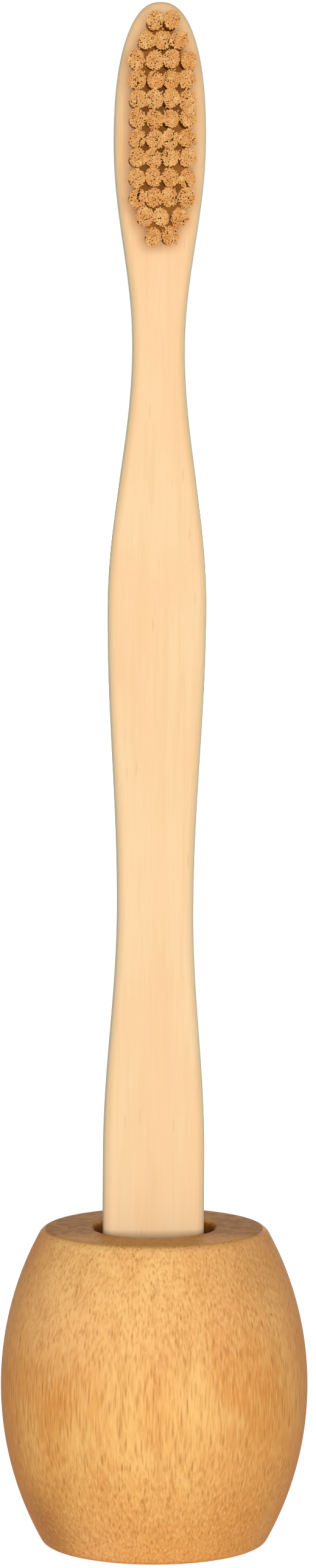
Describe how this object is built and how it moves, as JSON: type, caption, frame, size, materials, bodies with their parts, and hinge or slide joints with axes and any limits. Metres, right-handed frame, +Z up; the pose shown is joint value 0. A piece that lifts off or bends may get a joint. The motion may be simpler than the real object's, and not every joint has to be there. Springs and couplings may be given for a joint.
{
  "type": "toothbrush holder",
  "caption": "Barrel-shaped turned bamboo toothbrush holder with a round hole in its flat top, and a flat bamboo toothbrush standing in the hole.",
  "frame": {"origin": "centre of the holder's base, on the surface that it stands on", "axes": "+Z up along the barrel's axis, +X to the right, -Y to the front, where the bristles face"},
  "size_m": [0.04, 0.04, 0.1999],
  "materials": {
    "bamboo_dark": "carbonised bamboo, turned and sanded, satin",
    "bamboo_pale": "natural bamboo, sanded, matt",
    "bristle": "fine tan filaments, satin",
    "anchor_metal": "plain rolled strip"
  },
  "bodies": {
    "holder": {"holder_body": "bamboo_dark"},
    "brush": {"brush_handle": "bamboo_pale", "bristle_row_01": "bristle", "bristle_row_02": "bristle", "bristle_row_03": "bristle", "bristle_row_04": "bristle", "bristle_row_05": "bristle", "bristle_row_06": "bristle", "bristle_row_07": "bristle", "bristle_row_08": "bristle", "bristle_row_09": "bristle", "bristle_row_10": "bristle", "bristle_row_11": "bristle", "bristle_row_12": "bristle", "anchor_row_01": "anchor_metal", "anchor_row_02": "anchor_metal", "anchor_row_03": "anchor_metal", "anchor_row_04": "anchor_metal", "anchor_row_05": "anchor_metal", "anchor_row_06": "anchor_metal", "anchor_row_07": "anchor_metal", "anchor_row_08": "anchor_metal", "anchor_row_09": "anchor_metal", "anchor_row_10": "anchor_metal", "anchor_row_11": "anchor_metal", "anchor_row_12": "anchor_metal"}
  },
  "joints": [
    {"name": "brush_lift", "type": "slide", "parent": "holder", "child": "brush", "axis": [0.0061, 0.0976, 0.9952], "range_m": [0, 0.045]}
  ]
}
